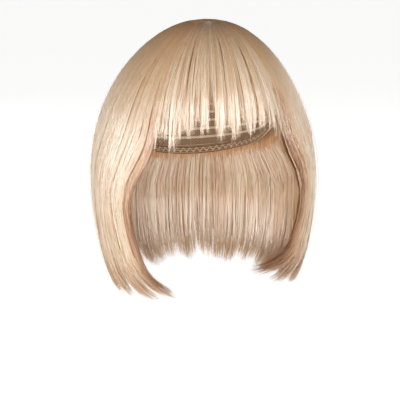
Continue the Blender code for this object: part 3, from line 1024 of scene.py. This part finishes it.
        border = eased(np.minimum(place, 1 - place) / 0.05)
        pull = (0.05 + (0.62 if self.fringe else 0.48) * eased((down - 0.55) / 0.45)) * border
        lock_pull = (0.12 if self.face_side or self.fringe else 0.02) * eased((down - 0.7) / 0.3) * border
        spot = place + (middles[clump][:, None] - place) * pull
        spot = spot + (lock_middle - spot) * lock_pull
        spot = spot + per_clump(-0.012, 0.012) * np.sin(math.pi * per_clump(0.5, 1.6) * down)
        spill = (0.03 if self.face_side or self.fringe else 0.055) * eased((down - 0.4) / 0.5)
        near = 0.04 if self.face_side or self.fringe else 0.12
        spot = spot - spill * np.maximum(1 - place / near, 0) * (self.face_side >= 0)
        spot = spot + spill * np.maximum(1 - (1 - place) / near, 0) * (self.face_side <= 0)
        azimuth = self.azimuth_at(spot, share)
        point, normal, side = self.shape.surface(azimuth, share)

        wall = self.wall_at(np.clip(spot, 0, 1), azimuth, share, np.maximum(end, 0.05))
        groove = self.groove(spot, share, wall)
        settle = eased(down / 0.12)
        rooted = 1 - eased((share - start) / 0.05)
        if plan.layer in (Layer.COVER, Layer.FLYAWAY):
            body = 0.06 + 0.94 * eased((down - 0.25) / 0.6)
            depth = groove * body + 0.0009 * in_clump**2 * body * settle + per_clump(0.0, 0.0010) * body
            depth = depth + per_strand(0.0, 0.0009) * body + 0.0010 * (1 - settle) + self.edge_turn(spot, share)
            depth = np.minimum(depth, np.maximum(wall * 0.6, 0.0008)) + 0.0012 * rooted
            inward = 0.0
        elif plan.layer is Layer.FILL:
            depth = blended(0.0015, wall, per_strand(0.05, 0.95))
            inward = 0.0
        else:
            depth = wall - per_strand(0.0, 0.0012) - 0.0008 * (1 - in_clump**2) * per_clump(0.2, 1.0)
            inward = 1.0
        wave = per_strand(0.0001, 0.0005) * np.sin(2 * math.pi * (per_strand(0.6, 1.8) * down + per_strand(0, 1)))
        sway = per_strand(-0.0005, 0.0005) * np.sin(2 * math.pi * (per_strand(0.5, 1.5) * down + per_strand(0, 1)))
        loose = eased(down / 0.15)
        if plan.layer is Layer.FLYAWAY:
            rise = per_strand(0.0, 1.0) ** 2
            depth = depth - 0.0045 * rise * eased((down - 0.1) / 0.5)
            sway = sway + per_strand(-0.006, 0.006) * eased((down - 0.25) / 0.75) ** 2
        stray = per_clump(-0.002, 0.002) * eased((down - 0.8) / 0.2) + per_strand(-0.002, 0.002) * eased((down - 0.88) / 0.12)
        point = point - normal * (depth + wave * loose * 0.6)[..., None] + side * ((sway + stray) * loose)[..., None]

        widest = per_strand(0.7, 1.25) * plan.half_width * MM
        taper = blended(0.6, 1.0, eased(down / 0.2)) * (1 - 0.88 * eased((down - 0.82) / 0.18)) * (1 - 0.7 * rooted)
        streak = per_clump(-0.12, 0.12) + per_strand(-0.12, 0.12) - 0.26 * (per_strand(0, 1) < 0.05)
        tone = 0.74 + streak * (0.25 + 0.75 * eased((down - 0.1) / 0.55))
        # painted shade: darker towards the roots at the crown and where the edge turns in beside the face; painted
        # highlight: paler further down the lengths
        tone = tone - 0.30 * (1 - eased(down / (0.7 if self.fringe else 0.5))) + 0.06 * down - 20 * self.edge_turn(spot, share)
        if self.face_side:
            inset = spot if self.face_side < 0 else 1 - spot
            breadth = 0.17 if self.face_side < 0 else 0.09
            # painted shade beside the face, and darker at the tips there
            shaded = (1 - eased(inset / breadth)) * eased((share - 0.28) / 0.12) * per_strand(0.4, 1.3)
            tone = tone - 0.42 * shaded - 0.20 * eased((down - 0.84) / 0.16)
        # painted shade: the inner layers are darker, as the hair over them shades them
        if plan.layer in (Layer.FILL, Layer.LINING):
            tone = tone - 0.14
        tone = np.clip(np.broadcast_to(tone, share.shape), 0, 1)
        outward = normal * (1 - 2 * inward)
        return Strands(point, outward, widest * taper, tone)

    def build(self) -> None:
        """Makes the section's pieces."""
        self.core()
        material = self.fibre.strand_material()
        for plan in self.plans:
            name = f"{self.node}_{plan.layer.value}"
            finished_object(name, self.strands(plan).mesh(name), material, (self.node,))


@dataclass
class WhorlKnot:
    """The closed weft at the crown, hidden by the roots of the hair."""

    shape: HairShape
    fibre: ModacrylicFibre
    node: str = "hair_whorl"
    radius: float = 0.0195
    count: int = 900
    rings: int = 7

    def core(self) -> None:
        """A low lens between the cap and the roots."""
        lens = bmesh.new()
        bmesh.ops.create_uvsphere(lens, u_segments=48, v_segments=18, radius=1.0)
        head = self.shape.head
        for vert in lens.verts:
            out = math.hypot(vert.co.x, vert.co.y)
            azimuth = np.array([math.degrees(math.atan2(vert.co.x, -vert.co.y))])
            reach = out * self.radius
            swing = math.degrees(math.asin(reach / float(head.reach(azimuth, 0.0)[0])))
            under = head.point(azimuth, np.array([swing]), self.shape.cap_wall + 0.0008)[0]
            line = self.shape.grid[int(azimuth[0]) % 360]
            over = float(np.interp(reach, line[:40, 0], line[:40, 1])) - 0.0016
            vert.co = Vector((under[0], under[1], over if vert.co.z > 0 else under[2]))
        bmesh.ops.recalc_face_normals(lens, faces=list(lens.faces))
        mesh = bpy.data.meshes.new(self.node + "_core")
        lens.to_mesh(mesh)
        lens.free()
        mesh.uv_layers.new(name="UVMap")
        mesh.shade_smooth()
        finished_object(self.node + "_core", mesh, self.fibre.mass_material(), (self.node,))

    def build(self) -> None:
        """Makes the lens and the short strands that swirl out of its middle."""
        self.core()
        rng = np.random.default_rng(77)
        azimuth = np.linspace(0, 360, self.count, endpoint=False)[:, None] + rng.uniform(0, 0.4, (self.count, 1))
        out = np.linspace(0, 1, self.rings)[None, :]
        length = rng.uniform(0.12, 0.26, (self.count, 1))
        share = 0.004 + length * out
        swirl = rng.uniform(14, 34, (self.count, 1)) * (1 - eased(out * length / 0.09))
        turned = azimuth + swirl
        point, normal, _ = self.shape.surface(turned, share)
        normal = blended(np.array([0.0, 0.0, 1.0]), normal, eased(share / 0.05)[..., None])
        depth = rng.uniform(0.0006, 0.0012, (self.count, 1)) + 0.0030 * eased((out - 0.2) / 0.8)
        width = rng.uniform(0.18, 0.32, (self.count, 1)) * MM * blended(0.4, 1.0, eased(out / 0.4))
        # painted shade: the knot's strands take the darker tone of the roots at the crown
        tone = np.clip(np.broadcast_to(rng.uniform(0.38, 0.56, (self.count, 1)), share.shape), 0, 1)
        strands = Strands(point - normal * depth[..., None], normal, width, tone)
        name = self.node + "_roots"
        material = self.fibre.strand_material(crimped=True)
        finished_object(name, strands.mesh(name), material, (self.node,))


@dataclass
class WigCap:
    """The net cap and the elastic inside its edge."""

    head: HeadForm
    net: KnittedNet
    tape: WovenElastic
    cap_wall: float = 0.0015
    band_wall: float = 0.0012
    band_width: float = 0.012
    gap: float = 0.0003

    def _swings(self, azimuth: Array) -> Array:
        """The swing of the cap's edge at each azimuth."""
        found = np.array([self.head.rim_swing(a) for a in range(361)])
        return np.interp(np.mod(azimuth, 360.0), np.arange(361), found)

    def build(self) -> None:
        """Makes the cap and its band."""

        def wall(grow: float) -> Surface:
            """The head's surface grown by that much, from the whorl to the cap's edge."""
            return lambda u, v: self.head.point(u * 360, v * self._swings(u * 360), grow)

        cap = shaped_sheet("cap_net", (100, 28), wall(0.0), wall(self.cap_wall), (480.0, 180.0), closed=True)
        finished_object("cap_net", cap, self.net.material(), ("cap",))

        def band(grow: float) -> Surface:
            """The strip of that surface next to the edge."""
            high = math.degrees(self.band_width / self.head.crown)
            return lambda u, v: self.head.point(u * 360, self._swings(u * 360) - high * (1 - v) - 0.15, grow)

        inside = -self.gap - self.band_wall
        tape = shaped_sheet("edge_tape", (100, 3), band(inside), band(-self.gap), (480.0, 12.0), closed=True)
        finished_object("edge_tape", tape, self.tape.material(), ("edge_band",))


@dataclass
class Studio:
    """The pale floor, the soft lights and the camera."""

    sheet: OpalFloor
    floor_height: float = -0.36
    azimuth: float = -12.0
    elevation: float = 12.0
    distance: float = 1.6
    lens: float = 141.0
    aim: tuple[float, float, float] = (-0.0035, 0.0, -0.1733)

    def build(self) -> None:
        """Makes all of it."""
        self.floor()
        self.camera()
        self.lights()

    def floor(self) -> None:
        """A wide round floor."""
        disc = bmesh.new()
        bmesh.ops.create_circle(disc, cap_ends=True, segments=96, radius=6.0)
        bmesh.ops.translate(disc, verts=list(disc.verts), vec=(0, 0, self.floor_height))
        mesh = bpy.data.meshes.new("studio_floor")
        disc.to_mesh(mesh)
        disc.free()
        mesh.materials.append(self.sheet.material())
        floor = bpy.data.objects.new("studio_floor", mesh)
        bpy.context.scene.collection.objects.link(floor)

    def camera(self) -> None:
        """The camera at the photograph's angle."""
        data = bpy.data.cameras.new("camera")
        data.lens = self.lens
        data.clip_start, data.clip_end = 0.05, 60.0
        camera = bpy.data.objects.new("camera", data)
        a, e = math.radians(self.azimuth), math.radians(self.elevation)
        back = Vector((math.sin(a) * math.cos(e), -math.cos(a) * math.cos(e), math.sin(e)))
        camera.location = Vector(self.aim) + back * self.distance
        camera.rotation_mode = "QUATERNION"
        camera.rotation_quaternion = (-back).to_track_quat("-Z", "Y")
        bpy.context.scene.collection.objects.link(camera)
        bpy.context.scene.camera = camera

    def lights(self) -> None:
        """Soft boxes and the room's even light."""
        # azimuth, elevation, distance, width, height, watts, colour
        boxes = (
            ("key", -15.0, 19.0, 1.9, 1.0, 0.35, 7.6, "#FFFFFF"),
            ("key_left", -50.0, 0.0, 1.9, 0.7, 0.7, 6.0, "#FFFFFF"),
            ("low_front", -10.0, 0.0, 1.9, 0.6, 0.6, 12.0, "#FFFFFF"),
            ("side_left", -100.0, 5.0, 1.9, 0.6, 0.8, 5.0, "#FFFFFF"),
            ("tall_right", 55.0, -2.0, 1.9, 0.5, 0.9, 11.0, "#FFFFFF"),
            ("back_side", 125.0, 10.0, 1.9, 0.5, 0.6, 3.5, "#FFFFFF"),
            ("back_low", 205.0, -3.0, 1.9, 0.8, 0.3, 6.0, "#FFFFFF"),
        )
        for name, azimuth, elevation, distance, width, height, watts, colour in boxes:
            data = bpy.data.lights.new(name, "AREA")
            data.shape, data.size, data.size_y, data.energy = "RECTANGLE", width, height, watts
            data.color = hex_colour(colour)[:3]
            light = bpy.data.objects.new(name, data)
            a, e = math.radians(azimuth), math.radians(elevation)
            back = Vector((math.sin(a) * math.cos(e), -math.cos(a) * math.cos(e), math.sin(e)))
            light.location = Vector((0, 0, -0.12)) + back * distance
            light.rotation_mode = "QUATERNION"
            light.rotation_quaternion = (-back).to_track_quat("-Z", "Y")
            light.visible_camera = False
            bpy.context.scene.collection.objects.link(light)
        world = bpy.data.worlds.new("room")
        world.use_nodes = True
        tree = world.node_tree
        tree.nodes.clear()
        # pale walls all round under a darker ceiling
        way = add_node(tree, "ShaderNodeTexCoord").outputs["Generated"]
        up = add_node(tree, "ShaderNodeSeparateXYZ", Vector=way).outputs["Z"]
        shade = colour_ramp(tree, up, ((0.0, "#FFFFFF"), (0.25, "#FFFFFF"), (0.60, "#7A7A7A"), (1.0, "#7A7A7A")))
        sky = add_node(tree, "ShaderNodeBackground", Color=shade, Strength=0.85)
        add_node(tree, "ShaderNodeOutputWorld", Surface=sky.outputs[0])
        bpy.context.scene.world = world
        bpy.context.scene.view_settings.view_transform = "Standard"


def full_plans(scale: float) -> tuple[LayerPlan, ...]:
    """The layers of a full-length section, for that many times the strands of a narrow one."""
    return (
        LayerPlan(Layer.COVER, int(1130 * scale), 13, int(60 * scale), 0.30),
        LayerPlan(Layer.FILL, int(600 * scale), 7, int(60 * scale), 0.30),
        LayerPlan(Layer.LINING, int(260 * scale), 9, int(30 * scale), 0.36),
        LayerPlan(Layer.FLYAWAY, int(26 * scale), 12, int(26 * scale), 0.14),
    )


def main() -> None:
    """Builds the wig and its studio."""
    head = HeadForm()
    shape = HairShape(head)
    fibre = ModacrylicFibre()
    WigCap(head, KnittedNet(), WovenElastic()).build()
    WhorlKnot(shape, fibre).build()
    fringe_plans = (
        LayerPlan(Layer.COVER, 2300, 10, 80, 0.27),
        LayerPlan(Layer.FILL, 900, 5, 90, 0.26),
        LayerPlan(Layer.LINING, 300, 6, 40, 0.34),
        LayerPlan(Layer.FLYAWAY, 40, 10, 40, 0.13),
    )
    sections = (
        HairSection("hair_fringe", shape, fibre, -FRINGE_EDGE, FRINGE_EDGE, FRINGE_LOCKS, fringe_plans, wall=0.007, fringe=True, seed=3),
        HairSection("hair_side_left", shape, fibre, FRINGE_EDGE, BACK_EDGE, SIDE_LOCKS, full_plans(1.6), face_side=-1, seed=5),
        HairSection("hair_side_right", shape, fibre, -BACK_EDGE, -FRINGE_EDGE, SIDE_LOCKS[::-1], full_plans(1.6), face_side=1, seed=7),
        HairSection("hair_back_left", shape, fibre, BACK_EDGE, NAPE_SEAM, NAPE_LOCKS, full_plans(0.9), seed=11),
        HairSection("hair_back", shape, fibre, NAPE_SEAM, 360 - NAPE_SEAM, BACK_LOCKS, full_plans(0.9), seed=13),
        HairSection("hair_back_right", shape, fibre, 360 - NAPE_SEAM, 360 - BACK_EDGE, NAPE_LOCKS[::-1], full_plans(0.9), seed=17),
    )
    for section in sections:
        section.build()
    Studio(OpalFloor()).build()


if __name__ == "__main__":
    main()
